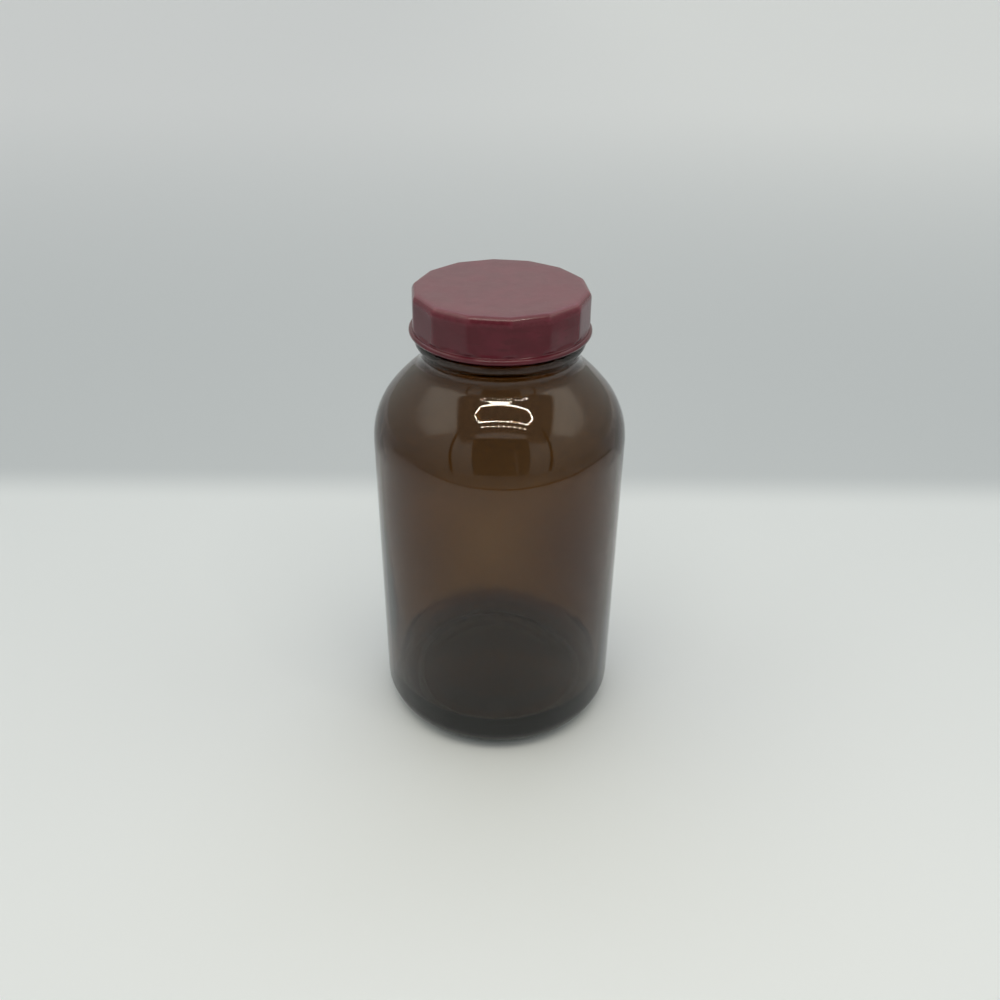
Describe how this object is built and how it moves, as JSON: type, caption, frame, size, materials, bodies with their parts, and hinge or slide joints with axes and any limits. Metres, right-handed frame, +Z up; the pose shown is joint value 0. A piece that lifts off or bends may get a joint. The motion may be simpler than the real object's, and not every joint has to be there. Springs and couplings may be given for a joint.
{
  "type": "wide-mouth amber glass bottle",
  "caption": "Round amber glass wide-mouth bottle with a domed shoulder, neck ring and a faceted enamelled metal screw cap over a paper liner.",
  "frame": {"origin": "centre of the ring that the base rests on", "axes": "+Z up along the bottle's axis, through the cap; +X to the right of the front view"},
  "size_m": [0.0834, 0.0834, 0.1568],
  "materials": {
    "amber_glass": "dark amber container glass, fire-polished",
    "maroon_enamel": "gloss stoved enamel on tinplate, lightly dusty",
    "tinplate": "bright tinplate with a thin gold lacquer",
    "pulpboard": "grey-brown pulpboard",
    "waxed_paper": "waxed white paper"
  },
  "bodies": {
    "bottle": {"glass_bottle": "amber_glass"},
    "liner": {"liner_backing": "pulpboard", "liner_facing": "waxed_paper"},
    "cap": {"cap_outer_shell": "maroon_enamel", "cap_inner_shell": "tinplate"}
  },
  "joints": [
    {"name": "cap_lift", "type": "slide", "parent": "bottle", "child": "liner", "axis": [0, 0, 1], "range_m": [0, 0.01483]},
    {"name": "cap_turn", "type": "hinge", "parent": "liner", "child": "cap", "pos_m": [0, 0, 0.15], "axis": [0, 0, 1], "range_deg": [0, 1260]}
  ],
  "couplings": [
    {"joint": "cap_lift", "follows": "cap_turn", "m_per_rad": 0.0006737}
  ]
}
